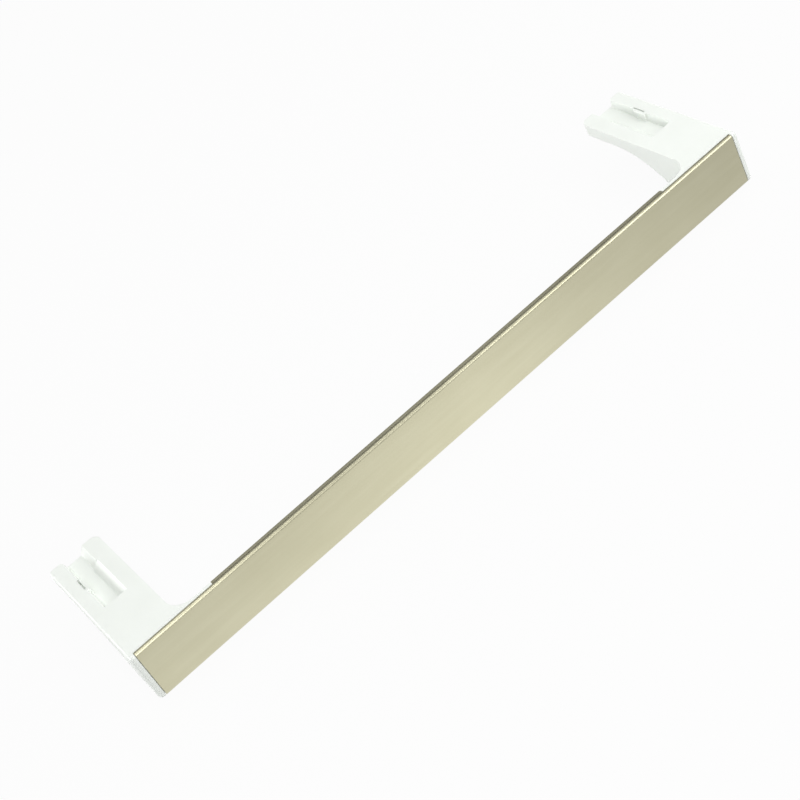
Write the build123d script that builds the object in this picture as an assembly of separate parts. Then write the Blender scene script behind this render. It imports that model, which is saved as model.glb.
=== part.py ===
# A bar handle for a refrigerator door. A folded metal channel makes the front, a crowned plastic
# core fills and stiffens it, and a moulded bracket at each end carries the bar, closes its end and
# reaches back to the door with a flat arm. A stepped recess in each arm takes the door's fitting.
# Sizes are in millimetres. X runs along the bar, +Y points back to the door, and +Z is up as the
# handle lies on its lower long side. The origin is the middle of its footprint.
from build123d import *
import os

# The handle as a whole
handle_length = 318.0
handle_width = 24.6
handle_depth = 73.2

# The folded front channel
sheet_thickness = 1.0
bend_radius = 1.2
flange_depth = 3.75
end_flange_depth = 2.0
end_flange_length = 38.0
notch_corner_radius = 0.4

# The bracket: cap, foot and arm
cap_thickness = 2.55
rim_radius = 1.7
foot_back_depth = 3.45
foot_fillet_radius = 8.5
arm_width = 24.1
arm_thickness = 5.6
root_depth = 16.0
sweep_end_depth = 52.0
inner_corner_radius = 3.8
rail_end_radius = 1.6

# The stepped recess in the arm's upper face
outer_rail_width = 6.65
outer_slope_width = 0.8
recess_depth = 3.6
recess_start = 33.2
recess_step = 60.0
inner_floor_width = 6.15
inner_slope_width = 3.9
mouth_floor_width = 6.95
mouth_slope_width = 2.5
recess_end_radius = 1.2

# The snap tooth on the recess's outer wall, and the relief groove behind it
tooth_start = 48.5
tooth_projection = 1.25
tooth_flat = 7.0
tooth_length = 9.0
tooth_drop = 0.2
tooth_root = 2.0
groove_lead = 1.5
groove_width = 0.7
groove_depth = 2.0

# The hollow behind the arm's root
root_wall = 2.4
hollow_corner_radius = 1.5

# The crowned back of the bar, and the core with its end tongues
crown_depth = 8.0
core_edge_depth = 3.5
tongue_thickness = 3.4
tongue_width = 15.0
tongue_end_inset = 5.0

# The bracket screws
screw_radius = 1.5
screw_head_radius = 2.9
screw_head_rim = 0.3
screw_tip_margin = 0.5
outer_screw_inset = 12.0
inner_screw_to_foot_end = 6.5
driver_slot_length = 3.4
driver_slot_width = 0.7
driver_slot_depth = 1.1

# Clearances
seam_gap = 0.25
fit_gap = 0.1
thread_gap = 0.02
hole_gap = 0.2

front = -handle_depth / 2
left_end = -handle_length / 2
mid_width = handle_width / 2
plate_underside = handle_width - arm_thickness
channel_inset = cap_thickness + seam_gap
notch_inset = channel_inset + end_flange_length
foot_end = notch_inset - seam_gap
inner_screw_inset = foot_end - inner_screw_to_foot_end
shoulder_depth = end_flange_depth + fit_gap
core_front_depth = sheet_thickness + fit_gap
tongue_back_depth = core_front_depth + tongue_thickness
lip_inset = sheet_thickness + fit_gap
past_the_part = 1.0

# Sketch planes at the left end: plan runs inward and back, side back and up, section inward and up
plan = Plane(origin=(left_end, front, 0))
side = Plane(origin=(left_end, front, 0), x_dir=(0, 1, 0), z_dir=(1, 0, 0))
section = Plane(origin=(left_end, front, 0), x_dir=(1, 0, 0), z_dir=(0, -1, 0))


def block(inward, back, up):
    """A box at the left end, from three pairs of distances inward, back and up."""
    size = [high - low for low, high in (inward, back, up)]
    corner = (left_end + inward[0], front + back[0], up[0])
    return Pos(*corner) * Box(*size, align=(Align.MIN, Align.MIN, Align.MIN))


def crown(first, last, front_depth):
    """A stretch of the bar's back: flat in front, arched behind, and as wide as the channel is inside."""
    low = lip_inset
    high = handle_width - lip_inset
    sides = Polyline((core_edge_depth, high), (front_depth, high), (front_depth, low), (core_edge_depth, low))
    arch = ThreePointArc((core_edge_depth, low), (crown_depth, mid_width), (core_edge_depth, high))
    face = make_face([*sides.edges(), arch])
    return Pos(first, 0, 0) * extrude(side * face, last - first)


def tongue(first, last, gap):
    """The core's flat tongue, or with a gap the slot that it lies in."""
    half = tongue_width / 2 + gap
    return block((first - gap, last + gap), (core_front_depth - gap, tongue_back_depth + gap),
                 (mid_width - half, mid_width + half))


def screw_blank(inset, head_gap, shank_gap, tip):
    """A countersunk screw at the left end, pointing forwards, or with gaps the hole for it."""
    head = screw_head_radius + head_gap
    shank = screw_radius + shank_gap
    cone_end = screw_head_rim + head - shank
    outline = Polyline((0, 0), (head, 0), (head, screw_head_rim), (shank, cone_end), (shank, tip), (0, tip),
                       close=True)
    turned = revolve(Plane.XZ * make_face(outline), Axis.Z)
    return Pos(left_end + inset, front + crown_depth, mid_width) * Rot(90, 0, 0) * turned


def screw(inset):
    """A bracket screw with a crossed driver recess."""
    body = screw_blank(inset, 0, 0, crown_depth - core_front_depth - screw_tip_margin)
    for length, width in ((driver_slot_length, driver_slot_width), (driver_slot_width, driver_slot_length)):
        body -= block((inset - length / 2, inset + length / 2), (crown_depth - driver_slot_depth, crown_depth),
                      (mid_width - width / 2, mid_width + width / 2))
    return body


def arm_underside():
    """What lies free under the arm, swept down to the lower side of its root."""
    sweep = TangentArc((sweep_end_depth, plate_underside), (root_depth, 0), tangent=(-1, 0))
    outside = Polyline((root_depth, 0), (root_depth, -past_the_part), (handle_depth + past_the_part, -past_the_part),
                       (handle_depth + past_the_part, plate_underside), (sweep_end_depth, plate_underside))
    face = make_face([sweep, *outside.edges()])
    return extrude(side * face, arm_width)


def root_hollow():
    """The hollow behind the root, which keeps the walls even and lets the outer screw in."""
    hollow = block((root_wall, arm_width - root_wall), (crown_depth, sweep_end_depth),
                   (root_wall, plate_underside))
    return fillet(hollow.edges().filter_by(Axis.Y), hollow_corner_radius)


def recess_stretch(first, last, floor_width, slope_width):
    """A stretch of the recess: a steep outer wall, a floor, and a slope up to the plate's face."""
    floor = handle_width - recess_depth
    floor_start = outer_rail_width + outer_slope_width
    floor_end = floor_start + floor_width
    slope_end = floor_end + slope_width
    above = handle_width + past_the_part
    wall_top = floor_start - outer_slope_width * (above - floor) / recess_depth
    outline = Polyline((wall_top, above), (floor_start, floor), (floor_end, floor), (slope_end, handle_width),
                       (slope_end, above), close=True)
    return Pos(0, last, 0) * extrude(section * make_face(outline), last - first)


def door_recess():
    """The recess for the door's fitting, open at the rear and wider at its mouth."""
    inner = recess_stretch(recess_start, recess_step, inner_floor_width, inner_slope_width)
    front_wall = inner.faces().sort_by(Axis.Y)[0]
    inner = fillet(front_wall.edges().sort_by(Axis.X)[0], recess_end_radius)
    mouth_end = handle_depth + past_the_part
    return inner + recess_stretch(recess_step, mouth_end, mouth_floor_width, mouth_slope_width)


def snap_tooth():
    """The tooth on the recess's outer wall, square to the inside and ramped to the mouth."""
    root = outer_rail_width - tooth_root
    tip = outer_rail_width + tooth_projection
    outline = Polyline((root, tooth_start), (tip, tooth_start), (tip, tooth_start + tooth_flat),
                       (outer_rail_width, tooth_start + tooth_length), (root, tooth_start + tooth_length),
                       close=True)
    floor = handle_width - recess_depth
    return Pos(0, 0, floor) * extrude(plan * make_face(outline), recess_depth - tooth_drop)


def relief_groove():
    """The groove behind the tooth, which lets it give way."""
    start = tooth_start + groove_lead
    return block((outer_rail_width - groove_width, outer_rail_width), (start, tooth_start + tooth_length),
                 (handle_width - groove_depth, handle_width + past_the_part))


def bracket():
    """The left moulding: an end cap, a foot in the channel, and the arm."""
    outline = make_face(Polyline(
        (0, 0), (0, handle_depth), (arm_width, handle_depth), (arm_width, foot_back_depth),
        (foot_end, foot_back_depth), (foot_end, shoulder_depth), (cap_thickness, shoulder_depth),
        (cap_thickness, 0), close=True))
    for corner, radius in (((arm_width, foot_back_depth), foot_fillet_radius),
                           ((arm_width, handle_depth), inner_corner_radius)):
        outline = fillet(outline.vertices().sort_by_distance((*corner, 0))[0], radius)
    body = extrude(plan * outline, handle_width)

    body = fillet(body.edges().filter_by(Axis.X).group_by(Axis.Y)[0], bend_radius)
    outer_face = body.faces().sort_by(Axis.X)[0]
    body = fillet(outer_face.outer_wire().edges(), rim_radius)
    body -= arm_underside()

    body += block((cap_thickness, foot_end), (core_front_depth, foot_back_depth),
                  (lip_inset, handle_width - lip_inset))
    body += crown(arm_width - root_wall, foot_end, shoulder_depth)
    body -= root_hollow()
    body -= door_recess()
    mouth_corner = (left_end + outer_rail_width + outer_slope_width / 2, front + handle_depth,
                    handle_width - recess_depth / 2)
    body = fillet(body.edges().sort_by_distance(mouth_corner)[0], rail_end_radius)
    body += snap_tooth()
    body -= relief_groove()
    body -= tongue(tongue_end_inset, notch_inset, fit_gap)
    for inset in (outer_screw_inset, inner_screw_inset):
        body -= screw_blank(inset, thread_gap, hole_gap, crown_depth)
    return body


def channel():
    """The folded sheet, with its flanges cut lower at both ends for the brackets."""
    outline = make_face(Polyline(
        (0, 0), (flange_depth, 0), (flange_depth, sheet_thickness), (sheet_thickness, sheet_thickness),
        (sheet_thickness, handle_width - sheet_thickness), (flange_depth, handle_width - sheet_thickness),
        (flange_depth, handle_width), (0, handle_width), close=True))
    for height, inner_height in ((0, sheet_thickness), (handle_width, handle_width - sheet_thickness)):
        outline = fillet(outline.vertices().sort_by_distance((0, height, 0))[0], bend_radius)
        inner = outline.vertices().sort_by_distance((sheet_thickness, inner_height, 0))[0]
        outline = fillet(inner, bend_radius - sheet_thickness)
    body = Pos(channel_inset, 0, 0) * extrude(side * outline, handle_length - 2 * channel_inset)

    notch = block((channel_inset - past_the_part, notch_inset), (end_flange_depth, flange_depth + past_the_part),
                  (-past_the_part, handle_width + past_the_part))
    corner = notch.edges().filter_by(Axis.Z).sort_by(Axis.X)[-2:].sort_by(Axis.Y)[0]
    notch = fillet(corner, notch_corner_radius)
    return body - notch - mirror(notch, Plane.YZ)


def core():
    """The plastic core: a crowned back between the brackets and a tongue under each foot."""
    start = notch_inset + fit_gap
    body = crown(start, handle_length - start, core_front_depth)
    body += tongue(tongue_end_inset, handle_length - tongue_end_inset, 0)
    for inset in (outer_screw_inset, inner_screw_inset):
        hole = screw_blank(inset, thread_gap, thread_gap, crown_depth)
        body -= hole + mirror(hole, Plane.YZ)
    return body


parts = {"front_channel": channel(), "grip_core": core()}
left_parts = {
    "bracket": bracket(),
    "screw_outer": screw(outer_screw_inset),
    "screw_inner": screw(inner_screw_inset),
}
for name, shape in left_parts.items():
    parts["left_" + name] = shape
    parts["right_" + name] = mirror(shape, Plane.YZ)

os.makedirs("parts", exist_ok=True)
for name, shape in parts.items():
    export_step(shape, "parts/" + name + ".step")
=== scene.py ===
import math
import bpy
from mathutils import Matrix, Vector

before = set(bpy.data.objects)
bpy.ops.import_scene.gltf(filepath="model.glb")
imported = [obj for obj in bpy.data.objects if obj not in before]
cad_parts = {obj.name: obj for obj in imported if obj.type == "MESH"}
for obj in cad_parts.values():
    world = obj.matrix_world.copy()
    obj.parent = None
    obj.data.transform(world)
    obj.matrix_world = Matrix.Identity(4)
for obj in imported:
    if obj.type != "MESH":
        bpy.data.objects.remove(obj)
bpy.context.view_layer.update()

print("loaded", len(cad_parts), "pieces of the handle")


def setInputs(tree, node, inputs):
    for name, value in inputs.items():
        if isinstance(value, bpy.types.NodeSocket):
            tree.links.new(value, node.inputs[name])
        else:
            node.inputs[name].default_value = value


def addNode(tree, kind, place, inputs=None, **settings):
    node = tree.nodes.new(kind)
    node.location = place
    for name, value in settings.items():
        setattr(node, name, value)
    setInputs(tree, node, inputs or {})
    return node


def placeGroup(tree, group, place, inputs):
    node = tree.nodes.new("ShaderNodeGroup")
    node.node_tree = group
    node.location = place
    setInputs(tree, node, inputs)
    return node


def newGroup(name, inputs, outputs):
    group = bpy.data.node_groups.new(name, "ShaderNodeTree")
    for socketName, (kind, default) in inputs.items():
        socket = group.interface.new_socket(socketName, in_out="INPUT", socket_type=kind)
        socket.default_value = default
    for socketName, kind in outputs.items():
        group.interface.new_socket(socketName, in_out="OUTPUT", socket_type=kind)
    start = addNode(group, "NodeGroupInput", (-900, 0))
    end = addNode(group, "NodeGroupOutput", (900, 0))
    return group, start.outputs, end.inputs


mmPerMetre = 1000.0
noiseSpread = {"From Min": 0.3, "From Max": 0.7}   # where nearly all of a noise texture's values lie
streakScale = (0.5, 0.09, 0.09)   # broad streaks beside the fine lines


def buildMottleGroup():   # slow, cloudy change over a moulded or anodised skin, or its fine grain
    group, given, out = newGroup(
        "softMottle",
        {"Position": ("NodeSocketVector", (0, 0, 0)), "Size mm": ("NodeSocketFloat", 20.0),
         "Low": ("NodeSocketFloat", 0.0), "High": ("NodeSocketFloat", 1.0)},
        {"Mottle": "NodeSocketFloat", "Value": "NodeSocketFloat"})
    scale = addNode(group, "ShaderNodeMath", (-600, 100), {0: mmPerMetre, 1: given["Size mm"]}, operation="DIVIDE")
    noise = addNode(group, "ShaderNodeTexNoise", (-300, 100),
                    {"Vector": given["Position"], "Scale": scale.outputs[0], "Detail": 2.0, "Roughness": 0.5})
    value = addNode(group, "ShaderNodeMapRange", (200, 0),
                    {"Value": noise.outputs["Fac"], "To Min": given["Low"], "To Max": given["High"], **noiseSpread})
    group.links.new(noise.outputs["Fac"], out["Mottle"])
    group.links.new(value.outputs[0], out["Value"])
    return group


def buildGrainGroup():   # lines left by brushing along the bar
    group, given, out = newGroup(
        "brushedGrain",
        {"Position": ("NodeSocketVector", (0, 0, 0)), "Lines Per mm": ("NodeSocketFloat", 6.0),
         "Stretch": ("NodeSocketFloat", 60.0), "Low": ("NodeSocketFloat", 0.0), "High": ("NodeSocketFloat", 1.0)},
        {"Grain": "NodeSocketFloat", "Streaks": "NodeSocketFloat", "Value": "NodeSocketFloat"})
    across = addNode(group, "ShaderNodeMath", (-700, 200), {0: given["Lines Per mm"], 1: mmPerMetre},
                     operation="MULTIPLY")
    along = addNode(group, "ShaderNodeMath", (-700, 0), {0: across.outputs[0], 1: given["Stretch"]},
                    operation="DIVIDE")
    scale = addNode(group, "ShaderNodeCombineXYZ", (-500, 100),
                    {"X": along.outputs[0], "Y": across.outputs[0], "Z": across.outputs[0]})
    stretched = addNode(group, "ShaderNodeVectorMath", (-300, 100),
                        {0: given["Position"], 1: scale.outputs[0]}, operation="MULTIPLY")
    fine = addNode(group, "ShaderNodeTexNoise", (-100, 200),
                   {"Vector": stretched.outputs[0], "Scale": 1.0, "Detail": 3.0, "Roughness": 0.6})
    wider = addNode(group, "ShaderNodeVectorMath", (-100, -100),
                    {0: stretched.outputs[0], 1: streakScale}, operation="MULTIPLY")
    streaks = addNode(group, "ShaderNodeTexNoise", (100, -100),
                      {"Vector": wider.outputs[0], "Scale": 1.0, "Detail": 2.0, "Roughness": 0.5})
    value = addNode(group, "ShaderNodeMapRange", (300, 100),
                    {"Value": fine.outputs["Fac"], "To Min": given["Low"], "To Max": given["High"], **noiseSpread})
    group.links.new(fine.outputs["Fac"], out["Grain"])
    group.links.new(streaks.outputs["Fac"], out["Streaks"])
    group.links.new(value.outputs[0], out["Value"])
    return group


def buildPaintedShadeAndReflectionGroup():   # painted shade and painted reflection: darkens the colour toward the ends of the bar, most near the right end, and lightens it toward the lower edge
    spans = {"Left": (-1.0, 0.0), "Right": (0.0, 0.6), "Right End": (0.5, 1.0)}
    inputs = {"Position": ("NodeSocketVector", (0, 0, 0)), "Colour": ("NodeSocketColor", (1, 1, 1, 1)),
              "Half Length": ("NodeSocketFloat", 0.16), "Height": ("NodeSocketFloat", 0.025)}
    inputs.update({name: ("NodeSocketFloat", 1.0) for name in [*spans, "Lower Edge", "Upper Edge"]})
    group, given, out = newGroup("paintedShadeAndReflection", inputs, {"Colour": "NodeSocketColor"})
    apart = addNode(group, "ShaderNodeSeparateXYZ", (-700, 200), {0: given["Position"]})
    along = addNode(group, "ShaderNodeMath", (-500, 200), {0: apart.outputs["X"], 1: given["Half Length"]},
                    operation="DIVIDE")
    paintedLightFactor = addNode(group, "ShaderNodeMapRange", (-300, 450),
                    {"Value": apart.outputs["Z"], "From Max": given["Height"], "To Min": given["Lower Edge"],
                     "To Max": given["Upper Edge"]}).outputs[0]
    for row, (name, (start, end)) in enumerate(spans.items()):
        ends = {"To Min": given[name], "To Max": 1.0} if name == "Left" else {"To Min": 1.0, "To Max": given[name]}
        step = addNode(group, "ShaderNodeMapRange", (-300, 200 - 250 * row),
                       {"Value": along.outputs[0], "From Min": start, "From Max": end, **ends},
                       interpolation_type="SMOOTHSTEP")
        paintedLightFactor = addNode(group, "ShaderNodeMath", (100 * row, 200), {0: paintedLightFactor, 1: step.outputs[0]},
                        operation="MULTIPLY").outputs[0]
    paintedLightColour = addNode(group, "ShaderNodeVectorMath", (600, 0), {0: given["Colour"], "Scale": paintedLightFactor},
                     operation="SCALE")
    group.links.new(paintedLightColour.outputs[0], out["Colour"])
    return group


softMottle = buildMottleGroup()
brushedGrain = buildGrainGroup()
paintedShadeAndReflection = buildPaintedShadeAndReflectionGroup()
print("built the shared shader groups")


def startMaterial(name):
    material = bpy.data.materials.new(name)
    material.use_nodes = True
    tree = material.node_tree
    tree.nodes.clear()
    output = addNode(tree, "ShaderNodeOutputMaterial", (700, 0))
    shader = addNode(tree, "ShaderNodeBsdfPrincipled", (400, 0))
    tree.links.new(shader.outputs[0], output.inputs["Surface"])
    position = addNode(tree, "ShaderNodeTexCoord", (-900, 0)).outputs["Object"]
    return material, tree, shader, position


def mixColours(tree, place, share, dark, light):
    mix = addNode(tree, "ShaderNodeMix", place, data_type="RGBA")
    tree.links.new(share, mix.inputs["Factor"])
    mix.inputs["A"].default_value = dark
    mix.inputs["B"].default_value = light
    return mix.outputs["Result"]


def raiseSkin(tree, shader, height, piece):
    bump = addNode(tree, "ShaderNodeBump", (100, -250),
                   {"Height": height, "Strength": piece["bumpStrength"], "Distance": piece["bumpDepth"]})
    tree.links.new(bump.outputs[0], shader.inputs["Normal"])


rounding = {"seamReach": 0.000002, "steps": 2, "sharpestAngle": 35, "flatFaceWeight": 100}


def softenEdges(node, piece):
    weld = node.modifiers.new("joinSeams", "WELD")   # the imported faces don't share their corners
    weld.merge_threshold = rounding["seamReach"]
    bevel = node.modifiers.new("softEdges", "BEVEL")
    bevel.width = piece["edgeRadius"]
    bevel.segments = rounding["steps"]
    bevel.limit_method = "ANGLE"
    bevel.angle_limit = math.radians(rounding["sharpestAngle"])
    shading = node.modifiers.new("evenShading", "WEIGHTED_NORMAL")   # keeps the flat faces flat
    shading.mode = "FACE_AREA"
    shading.weight = rounding["flatFaceWeight"]


def finishPieces(piece, material):
    for name in piece["nodes"]:
        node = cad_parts[name]
        node.data.materials.clear()
        node.data.materials.append(material)
        softenEdges(node, piece)
    print("finished", ", ".join(piece["nodes"]))


frontChannel = {   # satin anodised sheet, brushed along the bar
    "nodes": ["front_channel"], "slot": "champagne_metal", "edgeRadius": 0.00012,
    "light": (0.714, 0.688, 0.499, 1), "dark": (0.654, 0.627, 0.443, 1), "cloudMm": 30.0,
    "linesPerMm": 5.0, "stretch": 90.0, "roughness": (0.285, 0.335), "anisotropy": 0.65,
    "bumpStrength": 0.5, "bumpDepth": 0.00001,
    "halfLength": 0.159, "height": 0.0246,
    # painted shade: darker toward both ends, most at the right; painted reflection: lighter along the lower edge
    "paintedLight": {"Left": 0.875, "Right": 0.80, "Right End": 0.85, "Lower Edge": 1.05, "Upper Edge": 0.95},
}


def anodisedAluminium(name, piece):
    material, tree, shader, position = startMaterial(name)
    low, high = piece["roughness"]
    grain = placeGroup(tree, brushedGrain, (-650, 150),
                       {"Position": position, "Lines Per mm": piece["linesPerMm"], "Stretch": piece["stretch"],
                        "Low": low, "High": high})
    clouds = placeGroup(tree, softMottle, (-650, -200), {"Position": position, "Size mm": piece["cloudMm"]})
    tone = addNode(tree, "ShaderNodeMath", (-400, 250),
                   {0: grain.outputs["Streaks"], 1: clouds.outputs["Mottle"]}, operation="ADD")
    share = addNode(tree, "ShaderNodeMapRange", (-250, 250),
                    {"Value": tone.outputs[0], "From Min": 0.6, "From Max": 1.4})
    colour = mixColours(tree, (-100, 250), share.outputs[0], piece["dark"], piece["light"])
    # painted shade and painted reflection laid over the mixed colour
    paintedLight = placeGroup(tree, paintedShadeAndReflection, (150, 250),
                       {"Position": position, "Colour": colour, "Half Length": piece["halfLength"],
                        "Height": piece["height"], **piece["paintedLight"]})
    tree.links.new(paintedLight.outputs["Colour"], shader.inputs["Base Color"])
    tree.links.new(grain.outputs["Value"], shader.inputs["Roughness"])
    raiseSkin(tree, shader, grain.outputs["Grain"], piece)
    around = addNode(tree, "ShaderNodeTangent", (100, -450), direction_type="RADIAL", axis="X")
    tree.links.new(around.outputs[0], shader.inputs["Tangent"])
    shader.inputs["Anisotropic"].default_value = piece["anisotropy"]
    shader.inputs["Metallic"].default_value = 1.0
    return material


finishPieces(frontChannel, anodisedAluminium("champagneAluminium", frontChannel))


brackets = {   # smooth white mouldings that let a little light in
    "nodes": ["left_bracket", "right_bracket"], "slot": "white_plastic", "edgeRadius": 0.00022,
    "light": (0.885, 0.920, 0.875, 1), "dark": (0.868, 0.903, 0.856, 1), "cloudMm": 14.0,
    "roughness": (0.33, 0.41), "skinMm": 0.30, "bumpStrength": 0.4, "bumpDepth": 0.000005,
    "translucence": 0.35, "lightDepth": 0.0015,
}
gripCore = {   # matt pale grey moulding with the fine texture of a spark-eroded tool
    "nodes": ["grip_core"], "slot": "core_plastic", "edgeRadius": 0.00020,
    "light": (0.840, 0.850, 0.840, 1), "dark": (0.790, 0.800, 0.790, 1), "cloudMm": 18.0,
    "roughness": (0.45, 0.60), "skinMm": 0.40, "bumpStrength": 0.4, "bumpDepth": 0.00004,
    "translucence": 0.0, "lightDepth": 0.001,
}


def mouldedPlastic(name, piece):
    material, tree, shader, position = startMaterial(name)
    low, high = piece["roughness"]
    clouds = placeGroup(tree, softMottle, (-600, 250), {"Position": position, "Size mm": piece["cloudMm"]})
    gloss = placeGroup(tree, softMottle, (-600, 0), {"Position": position, "Size mm": piece["cloudMm"],
                                                     "Low": low, "High": high})
    skin = placeGroup(tree, softMottle, (-600, -250), {"Position": position, "Size mm": piece["skinMm"]})
    colour = mixColours(tree, (0, 250), clouds.outputs["Value"], piece["dark"], piece["light"])
    tree.links.new(colour, shader.inputs["Base Color"])
    tree.links.new(gloss.outputs["Value"], shader.inputs["Roughness"])
    raiseSkin(tree, shader, skin.outputs["Mottle"], piece)
    shader.inputs["Subsurface Weight"].default_value = piece["translucence"]
    shader.inputs["Subsurface Radius"].default_value = (1.0, 1.0, 1.0)
    shader.inputs["Subsurface Scale"].default_value = piece["lightDepth"]
    return material


finishPieces(brackets, mouldedPlastic("whiteMoulding", brackets))
finishPieces(gripCore, mouldedPlastic("greyMoulding", gripCore))


screws = {   # bright zinc plating, a little bluer where it is thicker
    "nodes": ["left_screw_outer", "left_screw_inner", "right_screw_outer", "right_screw_inner"],
    "slot": "screw_steel", "edgeRadius": 0.00008,
    "light": (0.720, 0.730, 0.745, 1), "dark": (0.540, 0.560, 0.590, 1), "cloudMm": 2.5,
    "roughness": (0.30, 0.44), "skinMm": 0.20, "bumpStrength": 0.4, "bumpDepth": 0.00001,
}


def zincPlate(name, piece):
    material, tree, shader, position = startMaterial(name)
    low, high = piece["roughness"]
    clouds = placeGroup(tree, softMottle, (-600, 200), {"Position": position, "Size mm": piece["cloudMm"]})
    skin = placeGroup(tree, softMottle, (-600, -100), {"Position": position, "Size mm": piece["skinMm"],
                                                       "Low": low, "High": high})
    colour = mixColours(tree, (0, 250), clouds.outputs["Value"], piece["dark"], piece["light"])
    tree.links.new(colour, shader.inputs["Base Color"])
    tree.links.new(skin.outputs["Value"], shader.inputs["Roughness"])
    raiseSkin(tree, shader, skin.outputs["Mottle"], piece)
    shader.inputs["Metallic"].default_value = 1.0
    return material


finishPieces(screws, zincPlate("zincPlatedSteel", screws))


studio = {   # the floor lies just under the handle; its glow is the share of plain white in it
    "floorSize": 40.0, "floorHeight": -0.0001, "floorColour": (0.62, 0.62, 0.62, 1), "floorGlow": 0.94,
    "worldColour": (0.27, 0.27, 0.27, 1),
}
softboxes = {   # place in metres, width and height in metres, brightness where 1 is white
    "leftSoftbox": {"place": (-0.24, -0.84, 0.74), "size": (0.42, 0.95), "glow": 3.00},
    "rightSoftbox": {"place": (0.68, -0.80, 0.74), "size": (0.50, 0.95), "glow": 3.60},
    "frontSoftbox": {"place": (0.18, -0.95, 1.00), "size": (0.55, 1.40), "glow": 0.55},
    "highLeftSoftbox": {"place": (-0.28, 0.30, 1.38), "size": (0.95, 0.95), "glow": 1.90},
    "highRightSoftbox": {"place": (0.75, 0.30, 1.25), "size": (0.95, 0.95), "glow": 1.10},
    "leftSideSoftbox": {"place": (-2.00, 1.20, 0.26), "size": (2.20, 0.46), "glow": 8.00},
    "rightSideSoftbox": {"place": (1.35, 0.35, 0.40), "size": (0.80, 0.80), "glow": 2.40},
}
camera = {
    "place": (-0.17762, -0.54207, 0.44388), "aim": (-0.01264, -0.01019, 0.0123), "roll": -30.2,
    "lensMm": 80.036, "sensorMm": 36.0,
}


def buildFloor():
    half = studio["floorSize"] / 2
    mesh = bpy.data.meshes.new("studioFloor")
    mesh.from_pydata([(-half, -half, 0), (half, -half, 0), (half, half, 0), (-half, half, 0)], [], [(0, 1, 2, 3)])
    floor = bpy.data.objects.new("studioFloor", mesh)
    floor.location.z = studio["floorHeight"]
    bpy.context.scene.collection.objects.link(floor)
    material = bpy.data.materials.new("paleFloor")
    material.use_nodes = True
    tree = material.node_tree
    tree.nodes.clear()
    output = addNode(tree, "ShaderNodeOutputMaterial", (700, 0))
    matt = addNode(tree, "ShaderNodeBsdfDiffuse", (100, 100), {"Color": studio["floorColour"]})
    glow = addNode(tree, "ShaderNodeEmission", (100, -100), {"Color": (1, 1, 1, 1), "Strength": 1.0})   # white
    rays = addNode(tree, "ShaderNodeLightPath", (-600, 300))
    seen = rays.outputs["Is Camera Ray"]
    for column, ray in enumerate(["Is Glossy Ray", "Is Transmission Ray"]):
        seen = addNode(tree, "ShaderNodeMath", (150 * column - 400, 300), {0: seen, 1: rays.outputs[ray]},
                       operation="MAXIMUM").outputs[0]
    share = addNode(tree, "ShaderNodeMath", (0, 300), {0: seen, 1: studio["floorGlow"]}, operation="MULTIPLY")
    mix = addNode(tree, "ShaderNodeMixShader", (400, 0),
                  {0: share.outputs[0], 1: matt.outputs[0], 2: glow.outputs[0]})
    tree.links.new(mix.outputs[0], output.inputs["Surface"])
    mesh.materials.append(material)


def buildWorld():
    world = bpy.data.worlds.new("studioAir")
    bpy.context.scene.world = world
    world.use_nodes = True
    tree = world.node_tree
    tree.nodes.clear()
    output = addNode(tree, "ShaderNodeOutputWorld", (400, 0))
    air = addNode(tree, "ShaderNodeBackground", (100, 0), {"Color": studio["worldColour"], "Strength": 1.0})
    tree.links.new(air.outputs[0], output.inputs["Surface"])


def lookAt(place, aim, roll=0.0):
    turn = (Vector(aim) - Vector(place)).to_track_quat("-Z", "Y").to_matrix().to_4x4()
    return Matrix.Translation(place) @ turn @ Matrix.Rotation(math.radians(roll), 4, "Z")


def hangSoftbox(name, box):
    lamp = bpy.data.lights.new(name, "AREA")
    lamp.shape = "RECTANGLE"
    lamp.size, lamp.size_y = box["size"]
    lamp.energy = box["glow"] * math.pi * lamp.size * lamp.size_y
    holder = bpy.data.objects.new(name, lamp)
    holder.matrix_world = lookAt(box["place"], (0, 0, 0))
    bpy.context.scene.collection.objects.link(holder)


def buildCamera():
    lens = bpy.data.cameras.new("camera")
    lens.lens = camera["lensMm"]
    lens.sensor_width = camera["sensorMm"]
    holder = bpy.data.objects.new("camera", lens)
    holder.matrix_world = lookAt(camera["place"], camera["aim"], camera["roll"])
    bpy.context.scene.collection.objects.link(holder)
    bpy.context.scene.camera = holder


buildFloor()
buildWorld()
for softboxName, box in softboxes.items():
    hangSoftbox(softboxName, box)
buildCamera()
bpy.context.scene.view_settings.view_transform = "Standard"
print("floor,", len(softboxes), "softboxes and camera are in place")
